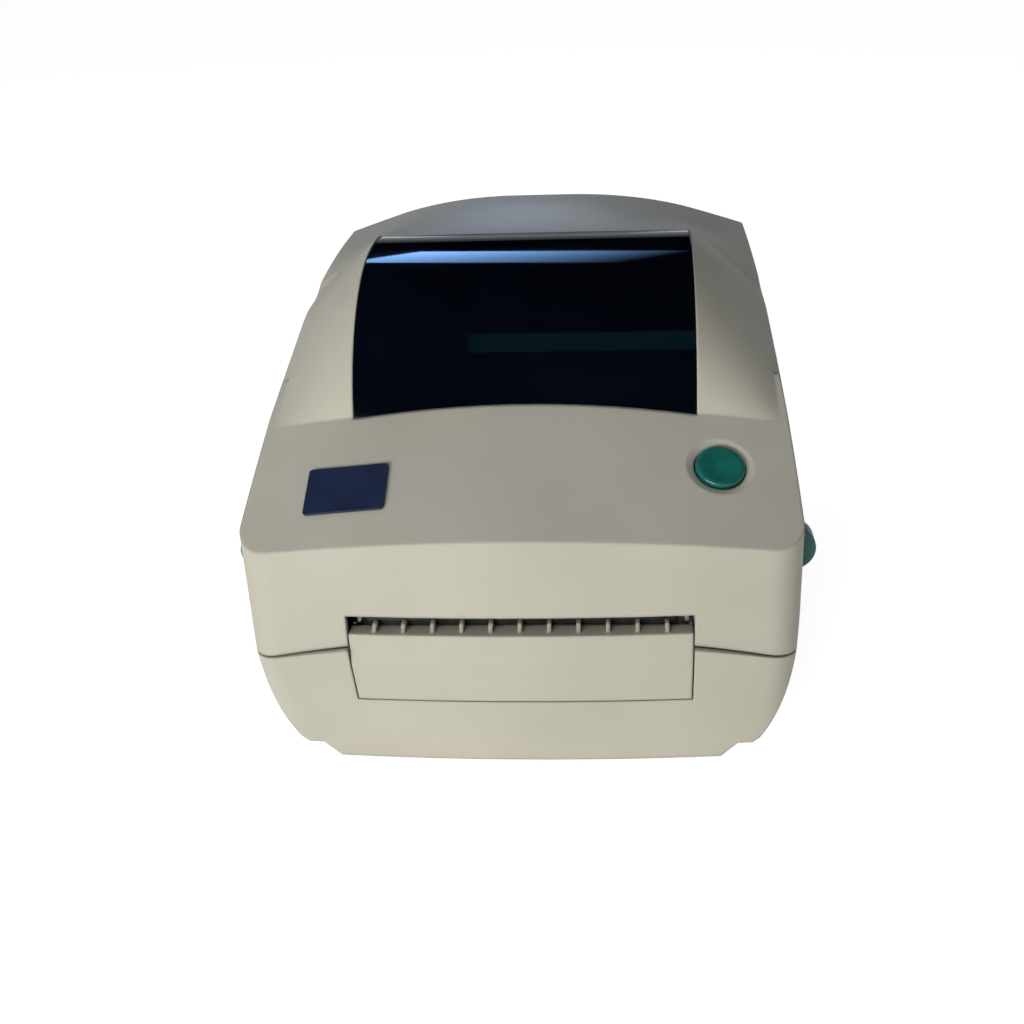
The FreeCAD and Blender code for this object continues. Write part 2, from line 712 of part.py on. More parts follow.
def trapezoid_socket(x, width, height, z):
    taper = height * 0.18
    points = [(-width / 2, 0.2), (width / 2, 0.2), (width / 2 - taper, height), (taper - width / 2, height)]
    corners = [Vector(x + px, 0, z + pz) for px, pz in points]
    return Part.Face(Part.makePolygon(corners + corners[:1]))


def swept_y(face, y0, y1):
    moved = face.copy()
    moved.translate(Vector(0, y0, 0))
    return moved.extrude(Vector(0, y1 - y0, 0))


socket_z = board_top + 3.0
parallel_shell = swept_y(trapezoid_socket(parallel_x, 58, 10.5, socket_z), inside_y - 11, rear_y + 1.2)
parallel_void = swept_y(trapezoid_socket(parallel_x, 56, 8.9, socket_z + 0.7), inside_y - 7, rear_y + 3)
parallel_bar = box(parallel_x - 25, parallel_x + 25, inside_y - 8, rear_y - 0.5,
                   socket_z + 3.9, socket_z + 6.7)
parallel_foot = box(parallel_x - parallel_half, parallel_x + parallel_half, inside_y - 11, inside_y - 1,
                    board_top, socket_z + 2)
parts["parallel_socket"] = joined(parallel_shell.cut(parallel_void), parallel_bar, parallel_foot)
serial_shell = swept_y(trapezoid_socket(serial_x, 18, 8.6, socket_z), inside_y - 9, rear_y + 1.2)
serial_void = swept_y(trapezoid_socket(serial_x, 16.4, 7.0, socket_z + 0.7), inside_y - 4, rear_y + 3)
serial_foot = box(serial_x - serial_half, serial_x + serial_half, inside_y - 9, inside_y - 1,
                  board_top, socket_z + 2)
serial_pins = []
for row, count in ((2.6, 5), (5.6, 4)):
    for index in range(count):
        x = serial_x + (index - (count - 1) / 2) * 2.77
        serial_pins.append(cyl_y(inside_y - 5, rear_y, x, socket_z + row, 0.5))
parts["serial_socket"] = joined(serial_shell.cut(serial_void), serial_foot, *serial_pins)
usb = box(usb_x - usb_half, usb_x + usb_half, inside_y - 13, rear_y + 0.6, board_top, board_top + 11)
usb = usb.cut(box(usb_x - 4.3, usb_x + 4.3, inside_y - 8, rear_y + 2, board_top + 1.6, board_top + 9.4))
tongue = box(usb_x - 2.8, usb_x + 2.8, inside_y - 8.5, rear_y - 1, board_top + 4, board_top + 7.2)
parts["usb_socket"] = joined(usb, tongue)
jack = box(jack_x - jack_half, jack_x + jack_half, inside_y - 12, rear_y + 0.6, board_top, board_top + 11.5)
jack = jack.cut(cyl_y(inside_y - 8, rear_y + 2, jack_x, board_top + 6, 4.2))
parts["power_jack"] = joined(jack, cyl_y(inside_y - 9, rear_y - 1, jack_x, board_top + 6, 1.0))
cutouts = [box(usb_x - usb_half - 0.4, usb_x + usb_half + 0.4, 90, 120, board_top - 0.4, board_top + 11.4)]
cutouts.append(box(jack_x - jack_half - 0.4, jack_x + jack_half + 0.4, 90, 120,
                   board_top - 0.4, board_top + 11.9))
cutouts.append(swept_y(trapezoid_socket(parallel_x, 59.4, 11.4, socket_z - 0.4), 90, 120))
cutouts.append(swept_y(trapezoid_socket(serial_x, 19.4, 9.5, socket_z - 0.4), 90, 120))
switch_half_z = 6.5
switch_low = switch_z - switch_half_z
switch_high = switch_z + switch_half_z
switch_left = switch_x - switch_half_x
switch_right = switch_x + switch_half_x
cutouts.append(box(switch_left, switch_right, 90, 120, switch_low, switch_high))
for cutout in cutouts:
    base = base.cut(cutout.common(box(-120, 120, inside_y - 3, 120, 0, 60)))
rim = box(switch_left - 1.2, switch_right + 1.2, rear_y, rear_y + 1.4, switch_low - 1.2, switch_high + 1.2)
frame_body = box(switch_left + 0.2, switch_right - 0.2, inside_y - 14, rear_y,
                 switch_low + 0.2, switch_high - 0.2)
frame_void = box(switch_left + 1.6, switch_right - 1.6, inside_y - 11, rear_y + 5,
                 switch_low + 1.6, switch_high - 1.6)
rocker_axis_y = rear_y - 3.0
switch_frame = joined(rim, frame_body).cut(frame_void)
axle_bores = cyl_z(switch_low + 0.6, switch_high - 0.6, switch_x, rocker_axis_y, 1.2 + running)
parts["switch_frame"] = switch_frame.cut(axle_bores)
rocker_half = switch_half_x - 2.2
rocker_wing = [(-rocker_half, 6.4), (0, 4.2), (rocker_half, 6.4), (rocker_half * 0.55, -2.2)]
rocker_wing.append((-rocker_half * 0.55, -2.2))
rocker_points = [(switch_x + x, rocker_axis_y + y) for x, y in rocker_wing]
rocker = prism_z(rocker_points, switch_low + 2.0, switch_high - 2.0)
rocker = joined(rocker, cyl_z(switch_low + 0.8, switch_high - 0.8, switch_x, rocker_axis_y, 1.2))
rocker.rotate(Vector(switch_x, rocker_axis_y, 0), Vector(0, 0, 1), switch_tilt)
parts["power_rocker"] = rocker

# board posts, chassis posts and foot pockets in the base
board_holes = [(x, y) for x in (board_x0 + 6, board_x1 - 6) for y in (board_y0 + 6, board_y1 - 22)]
floor_top = floor_z + base_floor
for x, y in board_holes:
    ground = floor_top if abs(x) < plinth_half - 4 else skirt_z + wall
    post = cyl_z(ground - 1.5, board_z - 0.05, x, y, 3.4)
    base = base.fuse(post.cut(cyl_z(ground - 0.8, board_z + 1, x, y, screw_radius)))
post_x = plinth_half - 7
chassis_posts = [(x, y) for x in (-post_x, post_x) for y in (-36, 84)]
post_top = 20.0
for x, y in chassis_posts:
    post = cyl_z(floor_top - 1, post_top, x, y, 4.5)
    base = base.fuse(post).cut(cyl_z(0, post_top + 1, x, y, screw_radius + 0.2))
    base = base.cut(cyl_z(0, floor_top + 1.5, x, y, screw_head + 0.3))
feet = []
for x in (-foot_x, foot_x):
    for y in (-foot_y, foot_y):
        base = base.cut(cyl_z(0, floor_z + 1.0, x, y, foot_radius + 0.1))
        pad = cyl_z(0, floor_z + 0.98, x, y, foot_radius)
        low_edge = [e for e in pad.Edges if e.CenterOfMass.z < 0.01]
        feet.append(pad.makeChamfer(0.5, low_edge[:1]))
parts["rubber_feet"] = Part.makeCompound(feet)
parts["base_shell"] = one_solid(base.removeSplitter())

pin_half = 1.5 * knuckle + knuckle_gap
parts["hinge_pins"] = both_sides(cyl_x(hinge_x - pin_half, hinge_x + pin_half, rear_y, parting_z, hinge_pin))

# front bezel with its ribbed lip
bezel_half = slot_half - bezel_gap
skin_low = base_form(0).cut(base_form(2.2))
skin_start = bezel_bottom_z + bezel_gap
skin_low = skin_low.common(box(-bezel_half, bezel_half, front_y - 5, front_y + 12, skin_start, parting_z))
skin_high = envelope(0).cut(envelope(2.2))
skin_high = skin_high.common(box(-bezel_half, bezel_half, front_y - 5, front_y + 12, parting_z, bezel_top_z))
lip = box(-bezel_half, bezel_half, front_y - 5, front_y + bezel_lip, bezel_top_z - 2.2, bezel_top_z)
lip = lip.common(envelope(0))
ribs = []
for index in range(rib_count):
    x = (index - (rib_count - 1) / 2) * rib_pitch
    start = front_at(bezel_top_z) + 2.2
    rib_points = [(start, bezel_top_z - 1), (start, bezel_top_z), (start + 2.5, rib_top_z)]
    rib_points += [(front_y + bezel_lip, rib_top_z), (front_y + bezel_lip, bezel_top_z - 1)]
    ribs.append(prism_x(rib_points, x - rib_thick / 2, x + rib_thick / 2))
tongues = []
for x in (-bezel_half + 10, bezel_half - 10):
    tongues.append(box(x - 5, x + 5, front_y + 8.2, front_y + 10.2, bezel_bottom_z - 6, bezel_bottom_z + 4))
    tongues.append(box(x - 5, x + 5, front_y + 4.6, front_y + 10.2, bezel_bottom_z + 1, bezel_bottom_z + 4))
bezel = joined(skin_low, skin_high, lip, *ribs, *tongues)
parts["front_bezel"] = one_solid(bezel)
tear = prism_x([(front_y + bezel_lip + 0.2, rib_top_z - 4), (front_y + bezel_lip + 1.0, rib_top_z - 4),
                (front_y + bezel_lip + 1.0, rib_top_z - 0.4), (front_y + bezel_lip + 0.6, rib_top_z + 0.2),
                (front_y + bezel_lip + 0.2, rib_top_z - 0.4)], -head_half - 2, head_half + 2)
parts["tear_bar"] = tear

# side plates with the platen bushes
plate_points = [(plate_front_y, 36), (plate_front_y, platen_z + 4), (platen_y - 4, plate_top_z)]
plate_points += [(platen_y + 6, plate_top_z), (plate_rear_y - 18, deck_z - 4), (plate_rear_y, deck_z - 4)]
plate_points += [(plate_rear_y, 14), (plate_front_y + 14, 14)]
plate = prism_x(plate_points, plate_x, plate_x + plate_thick)
bush_hole = cyl_x(-100, 100, platen_y, platen_z, bush_radius)
plate = plate.cut(bush_hole)
right_plate = plate.cut(cyl_x(0, 100, motor_y, motor_z, 5.0)).cut(cyl_x(0, 100, idler_y, idler_z, idler_post))
parts["side_plate_right"] = right_plate
parts["side_plate_left"] = mirrored(plate)
bush_bore = platen_shaft + running
bush = ring_x(plate_x - 1.2, plate_x + plate_thick + 0.4, platen_y, platen_z, bush_radius, bush_bore)
collar = ring_x(plate_x - 2.2, plate_x, platen_y, platen_z, bush_radius + 1.4, bush_bore)
parts["platen_bushes"] = both_sides(joined(bush, collar))

# platen roller and gear train
shaft_start = -plate_x - plate_thick - 3
parts["platen_shaft"] = cyl_x(shaft_start, gear_x + gear_width + 0.2, platen_y, platen_z, platen_shaft)
parts["platen_rubber"] = ring_x(-platen_half, platen_half, platen_y, platen_z, platen_radius, platen_shaft)
drive = involute_gear(platen_teeth, gear_x, gear_width, platen_shaft)
parts["platen_gear"] = placed_gear(drive, platen_y, platen_z, gear_angle)
small_wheel = involute_gear(idler_small_teeth, gear_x, gear_width + 0.7, 0)
small_turn = gear_angle + 180 + 180 / idler_small_teeth
small_wheel = placed_gear(small_wheel, idler_y, idler_z, small_turn)
large_wheel = involute_gear(idler_teeth, far_gear_x, gear_width, 0)
large_wheel = placed_gear(large_wheel, idler_y, idler_z, gear_angle)
idler = joined(large_wheel, small_wheel).cut(cyl_x(0, 120, idler_y, idler_z, idler_post + running))
parts["idler_gear"] = one_solid(idler)
post_end = far_gear_x + gear_width + 1.6
post = cyl_x(plate_x, post_end, idler_y, idler_z, idler_post)
post_cap = cyl_x(post_end - 1.0, post_end, idler_y, idler_z, idler_post + 1.2)
parts["idler_post"] = joined(post, post_cap)
pinion = involute_gear(pinion_teeth, far_gear_x, gear_width, motor_shaft)
parts["motor_pinion"] = placed_gear(pinion, motor_y, motor_z, gear_angle + 180 + 180 / pinion_teeth)
motor_face = plate_x - 0.2
can = cyl_x(motor_face - motor_length, motor_face, motor_y, motor_z, motor_radius)
spigot = cyl_x(motor_face - 1, plate_x + plate_thick + 0.3, motor_y, motor_z, 4.9)
shaft_bore = cyl_x(motor_face - motor_length + 2, 100, motor_y, motor_z, motor_shaft + running)
can = joined(can, spigot).cut(shaft_bore)
parts["stepper_motor"] = can
shaft_end = far_gear_x + gear_width + 0.6
parts["motor_shaft"] = cyl_x(motor_face - motor_length + 2.2, shaft_end, motor_y, motor_z, motor_shaft)

# chassis with the roll trough and the media deck
trough_front = roll_y - math.sqrt(trough_radius ** 2 - (roll_z - deck_z) ** 2)
tray = box(-chassis_half, chassis_half, tray_front_y, rear_y - wall - 6, 24, deck_z)
tray = tray.cut(cyl_x(-120, 120, roll_y, roll_z, trough_radius))
under = box(-120, 120, tray_front_y - 8, rear_y, 0, deck_z - chassis_thick)
hollow = under.cut(cyl_x(-120, 120, roll_y, roll_z, trough_radius + chassis_thick))
tray_half = chassis_half - chassis_thick
hollow_inner = hollow.common(box(-tray_half, tray_half, -200, 200, 0, 100))
tray = tray.cut(hollow_inner)
deck_start = platen_y + platen_radius + 3
media_deck = box(2 - plate_x, plate_x - 2, deck_start, trough_front, deck_z - chassis_thick, deck_z)
tray = joined(tray, media_deck)
corner_cut = box(-120, 120, 60, 120, 0, 34)
tray = tray.cut(corner_cut)
for x, y in chassis_posts:
    top = deck_z - 1 if y < 0 else 46
    leg = cyl_z(post_top, top, x, y, 4.5)
    leg = leg.cut(cyl_x(-120, 120, roll_y, roll_z, trough_radius + 0.5))
    tray = tray.fuse(leg).cut(cyl_z(post_top - 1, post_top + 9, x, y, screw_radius))

# slots for the hangers and the guides
for side in (-1, 1):
    inner = hanger_gap / 2 - hanger_travel
    lane = [side * (inner - 1.5), side * (hanger_gap / 2 + hanger_thick + 1.5)]
    tray = tray.cut(box(min(lane), max(lane), hanger_y - 8.5, hanger_y + 8.5, 0, 40))
    lane = [side * (guide_gap / 2 - guide_travel - 1.5), side * (guide_gap / 2 + 3.5)]
    tray = tray.cut(box(min(lane), max(lane), guide_y - 3.5, guide_y + 3.5, deck_z - 6, deck_z + 5))


# racks and their pinions
def rack(x0, x1, y, z, sign, phase):
    pitch = math.pi * rack_module
    low = -rack_module * 1.25
    half = pitch / 4 - rack_backlash / 2
    slope = math.tan(math.radians(20))
    bar = box(x0, x1, -rack_depth - 1.25 * rack_module, low, 0, rack_width)
    first = math.ceil((x0 - phase) / pitch + 0.5)
    last = math.floor((x1 - phase) / pitch - 0.5)
    teeth = []
    for index in range(first, last + 1):
        centre = phase + index * pitch
        wide = half - slope * low
        narrow = half - slope * rack_module
        points = [(centre - wide, low - 0.1), (centre + wide, low - 0.1)]
        points += [(centre + narrow, rack_module), (centre - narrow, rack_module)]
        teeth.append(prism_z(points, 0, rack_width))
    shape = joined(bar, *teeth)
    if sign > 0:
        shape = shape.mirror(Vector(0, 0, 0), Vector(0, 1, 0))
    shape.translate(Vector(0, y, z))
    return shape


def rack_pinion(teeth, y, z):
    pitch = rack_module * teeth / 2
    base_r = pitch * math.cos(math.radians(20))
    half_tooth = math.pi / (2 * teeth) - rack_backlash / (2 * pitch)
    pressure = math.tan(math.radians(20)) - math.radians(20)
    points = []
    radii = [pitch - 1.2 * rack_module, base_r, pitch, pitch + 0.9 * rack_module]
    for tooth in range(teeth):
        centre = 2 * math.pi * tooth / teeth + math.pi / 2
        for order, ladder in ((-1, radii), (1, radii[::-1])):
            for radius in ladder:
                turn = math.acos(min(1.0, base_r / max(radius, base_r)))
                offset = half_tooth + pressure - (math.tan(turn) - turn)
                points.append((radius, centre + order * offset))
    corners = [(r * math.cos(a), y + r * math.sin(a)) for r, a in points]
    return prism_z(corners, z, z + rack_width)


hanger_pitch = rack_module * rack_teeth / 2
guide_pitch = rack_module * guide_rack_teeth / 2
half_tooth = math.pi * rack_module / 2
rack_top = hanger_rack_z + rack_width + slide_gap
boss_x = hanger_gap / 2 + hanger_thick
heel_y = hanger_y - hanger_pitch - rack_depth - 1.2
right_rack = rack(-34, boss_x, hanger_y - hanger_pitch, hanger_rack_z, -1, half_tooth)
arm_foot = box(hanger_gap / 2, boss_x, hanger_y - 7.6, hanger_y + 7.6, rack_top, roll_z - 10)
heel_end = hanger_y - hanger_pitch - rack_module
heel = box(hanger_gap / 2, boss_x, heel_y, heel_end, hanger_rack_z, rack_top + 1.0)
heel = joined(heel, box(hanger_gap / 2, boss_x, heel_y, hanger_y, rack_top, rack_top + 1.0))
disc = cyl_x(hanger_gap / 2, boss_x, roll_y, roll_z, 16.0)
arm_body = joined(arm_foot, disc, right_rack, heel).cut(cyl_x(0, 100, roll_y, roll_z, 5.0 + running))
parts["hanger_right"] = one_solid(arm_body)
turned = parts["hanger_right"].copy()
turned.rotate(Vector(0, hanger_y, 0), Vector(0, 0, 1), 180)
parts["hanger_left"] = turned
hub = cyl_x(hanger_gap / 2 - hub_length, hanger_gap / 2 - 0.4, roll_y, roll_z, hub_radius)
hub_edge = [e for e in hub.Edges if e.CenterOfMass.x < hanger_gap / 2 - hub_length + 0.01]
hub = hub.makeChamfer(1.5, hub_edge[:1])
hub_stem = cyl_x(hanger_gap / 2 - 1, boss_x + 0.6, roll_y, roll_z, 5.0)
hub = joined(hub, hub_stem, cyl_x(boss_x + 0.4, boss_x + 2.0, roll_y, roll_z, 6.5))
parts["hub_right"] = hub
parts["hub_left"] = mirrored(hub)
wheel = rack_pinion(rack_teeth, hanger_y, hanger_rack_z)
parts["hanger_pinion"] = wheel.cut(cyl_z(0, 100, 0, hanger_y, 2.5 + running))
fence_x = guide_gap / 2
guide_rack = rack(-22, fence_x + 2, guide_y - guide_pitch, guide_rack_z, -1, half_tooth)
foot_low = guide_rack_z + rack_width
guide_foot = box(fence_x, fence_x + 2, guide_y - 3.0, guide_y + 3.0, foot_low, deck_z + 0.5)
heel_start = guide_y - guide_pitch - rack_depth
guide_heel = box(fence_x, fence_x + 2, heel_start, guide_y + 3.0, foot_low - 1.4, foot_low)
fence = box(fence_x, fence_x + 2, guide_y - 9, guide_y + 9, deck_z + 0.3, deck_z + guide_height)
parts["guide_right"] = one_solid(joined(guide_rack, guide_foot, guide_heel, fence))
turned = parts["guide_right"].copy()
turned.rotate(Vector(0, guide_y, 0), Vector(0, 0, 1), 180)
parts["guide_left"] = turned
wheel = rack_pinion(guide_rack_teeth, guide_y, guide_rack_z)
parts["guide_pinion"] = wheel.cut(cyl_z(0, 100, 0, guide_y, 2.0 + running))
guide_axle = cyl_z(guide_rack_z - 1.5, deck_z - 0.5, 0, guide_y, 2.0)
guide_axle = guide_axle.fuse(cyl_z(guide_rack_z - 1.5, guide_rack_z - 0.4, 0, guide_y, 4.0))
tray = joined(tray, guide_axle)
parts["chassis"] = one_solid(tray.removeSplitter())
axle_plate = box(-30, 30, hanger_y - 4, hanger_y + 4, board_z + 3.4, hanger_rack_z - 0.4)
axle_plate = joined(axle_plate, cyl_z(hanger_rack_z - 1, hanger_rack_z + rack_width + 1.0, 0, hanger_y, 2.5))
parts["hanger_axle"] = axle_plate

# main board and what stands on it
pcb = box(board_x0, board_x1, board_y0, board_y1 - 1.2, board_z, board_top)
for x, y in board_holes:
    pcb = pcb.cut(cyl_z(0, 40, x, y, screw_radius + 0.2))
for x, y in chassis_posts:
    pcb = pcb.cut(cyl_z(0, 40, x, y, 5.2))
parts["main_board"] = pcb
chips = [box(-40, -16, 40, 64, board_top, board_top + 2.2), box(-70, -56, 44, 60, board_top, board_top + 1.6)]
chips.append(box(8, 30, 44, 56, board_top, board_top + 1.8))
chips += [cyl_z(board_top, board_top + 7.5, board_x1 - 18 + index * 8.5, 72, 3.6) for index in range(2)]
chips.append(box(board_x1 - 34, board_x1 - 14, 34, 39, board_top, board_top + 7))
parts["board_components"] = Part.makeCompound(chips)
board_screws = []
for x, y in board_holes:
    shank_low = board_z - (1.5 if abs(x) < plinth_half - 4 else 0.5)
    shank = cyl_z(shank_low, board_top + 0.05, x, y, screw_radius)
    board_screws.append(joined(shank, cyl_z(board_top + 0.02, board_top + 2.0, x, y, screw_head)))
parts["board_screws"] = Part.makeCompound(board_screws)
case_screws = []
for x, y in chassis_posts:
    head = cyl_z(floor_top - 0.4, floor_top + 1.45, x, y, screw_head)
    case_screws.append(joined(head, cyl_z(floor_top, post_top + 7, x, y, screw_radius)))
parts["case_screws"] = Part.makeCompound(case_screws)

# gap sensor under the media deck
sensor = box(-8, 8, platen_y + 11.5, platen_y + 18, deck_z - 7, deck_z - chassis_thick - 0.1)
parts["gap_sensor"] = sensor

for name, shape in parts.items():
    shape.exportStep("parts/" + name + ".step")
    print(name, shape.ShapeType, len(shape.Solids), shape.isValid(), round(shape.Volume))
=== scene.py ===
import bpy
import bmesh
import math
from mathutils import Matrix, Vector


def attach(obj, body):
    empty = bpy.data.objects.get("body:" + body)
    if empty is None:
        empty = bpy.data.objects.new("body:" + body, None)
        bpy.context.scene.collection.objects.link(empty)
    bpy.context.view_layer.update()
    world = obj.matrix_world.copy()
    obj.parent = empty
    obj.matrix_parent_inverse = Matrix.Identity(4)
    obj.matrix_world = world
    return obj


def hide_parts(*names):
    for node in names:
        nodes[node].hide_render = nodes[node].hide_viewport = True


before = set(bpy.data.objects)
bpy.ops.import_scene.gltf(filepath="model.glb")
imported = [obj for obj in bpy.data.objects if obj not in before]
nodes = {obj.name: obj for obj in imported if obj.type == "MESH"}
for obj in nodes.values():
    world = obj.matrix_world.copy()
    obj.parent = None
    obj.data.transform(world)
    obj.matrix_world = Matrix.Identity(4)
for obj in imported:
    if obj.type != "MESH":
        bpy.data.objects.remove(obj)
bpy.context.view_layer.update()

scene = bpy.context.scene
print("frame loaded with", len(nodes), "pieces")

metre = 1000.0  # looks give their sizes in millimetres
# shared by all finishes: noise levels that colour, flecks and roughness follow, and how far the painted shade
# in seams reaches
finishSet = {"broadSpan": (0.35, 0.65), "fleckSpan": (0.55, 0.75), "roughSpan": (0.3, 0.7), "broadDetail": 2.0,
             "grainDetail": 3.0, "grainRoughness": 0.55, "coatRoughness": 0.08, "ior": 1.5, "specular": 0.5,
             "seamShadeReach": 0.004, "seamShadeSpan": (0.25, 0.8), "rays": 4}


def hexColour(text):  # sRGB hex to the linear colour that shaders take
    parts = [int(text[i:i + 2], 16) / 255 for i in (1, 3, 5)]
    return [c / 12.92 if c <= 0.04045 else ((c + 0.055) / 1.055) ** 2.4 for c in parts] + [1.0]


def addNode(tree, kind, settings, links):  # a link gives the name or the number of its input
    node = tree.nodes.new(kind)
    for name, value in settings.items():
        if name in node.inputs:
            node.inputs[name].default_value = value
        else:
            setattr(node, name, value)
    for name, socket in links.items():
        tree.links.new(socket, node.inputs[name])
    return node


def ramp(tree, value, span, low=0.0, high=1.0):  # spreads a span of values from low to high
    settings = {"From Min": span[0], "From Max": span[1], "To Min": low, "To Max": high}
    return addNode(tree, "ShaderNodeMapRange", settings, {"Value": value}).outputs["Result"]


def overlay(tree, share, text, below):  # lays a hex colour over another by its share
    links = {"Fac": share, "Color1": below}
    return addNode(tree, "ShaderNodeMixRGB", {"Color2": hexColour(text)}, links).outputs["Color"]


def larger(tree, first, second):
    return addNode(tree, "ShaderNodeMath", {"operation": "MAXIMUM"}, {0: first, 1: second}).outputs[0]


def finish(name, look):
    material = bpy.data.materials.new(name)
    material.use_nodes = True
    tree = material.node_tree
    tree.nodes.clear()
    place = addNode(tree, "ShaderNodeTexCoord", {}, {}).outputs["Object"]
    stretch = {"Scale": look.get("stretch", (1, 1, 1))}
    stretched = addNode(tree, "ShaderNodeMapping", stretch, {"Vector": place}).outputs["Vector"]
    grainSet = {"Scale": metre / look["grain"], "Detail": look.get("detail", finishSet["grainDetail"]),
                "Roughness": finishSet["grainRoughness"]}
    grain = addNode(tree, "ShaderNodeTexNoise", grainSet, {"Vector": stretched}).outputs["Fac"]
    broadSet = {"Scale": metre / look["broad"], "Detail": finishSet["broadDetail"]}
    broad = addNode(tree, "ShaderNodeTexNoise", broadSet, {"Vector": place}).outputs["Fac"]
    paints = {"Color1": hexColour(look["colour"]), "Color2": hexColour(look["shade"])}
    share = ramp(tree, broad, finishSet["broadSpan"])
    colour = addNode(tree, "ShaderNodeMixRGB", paints, {"Fac": share}).outputs["Color"]
    if "fleck" in look:
        flecks = ramp(tree, grain, finishSet["fleckSpan"], high=look["fleckAmount"])
        colour = overlay(tree, flecks, look["fleck"], colour)
    if "seamShade" in look:  # painted shade: the colour darkens by occlusion where two surfaces meet
        seamShadeSet = {"Distance": finishSet["seamShadeReach"], "samples": finishSet["rays"], "only_local": False}
        hollow = addNode(tree, "ShaderNodeAmbientOcclusion", seamShadeSet, {}).outputs["AO"]
        seamShadeShare = ramp(tree, hollow, finishSet["seamShadeSpan"], low=look["seamShadeAmount"], high=0.0)
        colour = overlay(tree, seamShadeShare, look["seamShade"], colour)
    rough = ramp(tree, grain, finishSet["roughSpan"], *look["rough"])
    heights = {"Height": grain}
    if "edge" in look:  # light catches a moulded edge as a soft line
        edgeSet = {"Radius": look["edge"] / metre, "samples": finishSet["rays"]}
        heights["Normal"] = addNode(tree, "ShaderNodeBevel", edgeSet, {}).outputs["Normal"]
    bumpSet = {"Strength": look["bump"], "Distance": look["relief"] / metre}
    bump = addNode(tree, "ShaderNodeBump", bumpSet, heights).outputs["Normal"]
    body = {"Metallic": look.get("metallic", 0.0), "IOR": look.get("ior", finishSet["ior"]),
            "Coat Weight": look.get("coat", 0.0), "Coat Roughness": finishSet["coatRoughness"],
            "Specular IOR Level": look.get("specular", finishSet["specular"])}
    links = {"Base Color": colour, "Roughness": rough, "Normal": bump}
    shader = addNode(tree, "ShaderNodeBsdfPrincipled", body, links)
    addNode(tree, "ShaderNodeOutputMaterial", {}, {"Surface": shader.outputs["BSDF"]})
    return material


def dress(name, look, *pieces):  # makes a finish and puts it on the pieces
    material = finish(name, look)
    for piece in pieces:
        mesh = nodes[piece].data
        mesh.materials.clear()
        mesh.materials.append(material)
    return material


# moulded ABS from a spark-eroded tool: warm putty grey, matt grain drawn coarse enough to show, painted shade
# darkening the seams
casingLook = {"colour": "#C8C5B6", "shade": "#C0BDAD", "grain": 0.9, "broad": 70, "detail": 4.0, "bump": 0.22,
              "relief": 0.12, "rough": (0.5, 0.62), "edge": 1.6, "seamShade": "#6B6756", "seamShadeAmount": 0.55,
              "ior": 1.53}
casing = dress("moulded ABS putty", casingLook, "top_cover", "base_shell", "front_bezel")

# skin of the cover: the ends of the deck sink level with the shoulders of the roll bay
skinSet = {"name": "coverSkin", "endY": -0.024, "startX": 0.0938, "fullX": 0.095, "level": 0.1254,
           "deckNormal": (0, -0.42, 0.91), "sameY": 0.0001, "merge": 1e-7}


def atDeckEnd(place):
    return abs(place.y - skinSet["endY"]) < skinSet["sameY"]


solidMesh = nodes["top_cover"].data
solidNormals = [normal.vector.copy() for normal in solidMesh.corner_normals]
skinShape = bmesh.new()
skinShape.from_mesh(solidMesh)
bmesh.ops.remove_doubles(skinShape, verts=skinShape.verts, dist=skinSet["merge"])
for corner in skinShape.verts:
    place = corner.co
    if atDeckEnd(place) and abs(place.x) > skinSet["startX"] and place.z > skinSet["level"]:
        share = min(1.0, (abs(place.x) - skinSet["startX"]) / (skinSet["fullX"] - skinSet["startX"]))
        place.z += share * (skinSet["level"] - place.z)
skinMesh = bpy.data.meshes.new(skinSet["name"])
skinShape.to_mesh(skinMesh)
skinShape.free()
skinMesh.materials.append(casing)
for face in skinMesh.polygons:  # the sunk ends shade like the deck
    if all(atDeckEnd(skinMesh.vertices[i].co) for i in face.vertices):
        for i in face.loop_indices:
            solidNormals[i] = Vector(skinSet["deckNormal"])
if len(skinMesh.loops) == len(solidNormals):  # shading of the solid's curved faces is kept
    skinMesh.normals_split_custom_set(solidNormals)
skin = bpy.data.objects.new(skinSet["name"], skinMesh)
scene.collection.objects.link(skin)
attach(skin, "cover")
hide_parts("top_cover")

# smoked acrylic pane: near-black navy, polished, with faint wiping marks
paneLook = {"colour": "#03060C", "shade": "#050A14", "grain": 6, "broad": 40, "stretch": (0.12, 1, 1),
            "bump": 0.02, "relief": 0.02, "rough": (0.03, 0.09), "ior": 1.49, "specular": 0.14, "edge": 0.5}
dress("smoked acrylic", paneLook, "window")

# printed polyester badge, bare: deep navy satin film
badgeLook = {"colour": "#1E2947", "shade": "#232F50", "grain": 0.5, "broad": 12, "stretch": (0.08, 1, 1),
             "bump": 0.08, "relief": 0.02, "rough": (0.28, 0.4), "edge": 0.25, "fleck": "#2B3860",
             "fleckAmount": 0.35}
dress("printed polyester navy", badgeLook, "badge_plate")

# glossy teal ABS key with painted shade darkening round its rim
keyLook = {"colour": "#18766C", "shade": "#13645A", "grain": 1.2, "broad": 8, "bump": 0.08, "relief": 0.05,
           "rough": (0.22, 0.34), "edge": 0.8, "coat": 0.25, "seamShade": "#0B2E2B", "seamShadeAmount": 0.6}
dress("polished ABS teal", keyLook, "feed_button")

# satin teal ABS of the latches and roll hubs
tabLook = {"colour": "#2F7A72", "shade": "#286B64", "grain": 0.9, "broad": 14, "bump": 0.18, "relief": 0.1,
           "rough": (0.4, 0.52), "edge": 0.9}
dress("moulded ABS teal", tabLook, "latch_left", "latch_right", "hub_left", "hub_right")
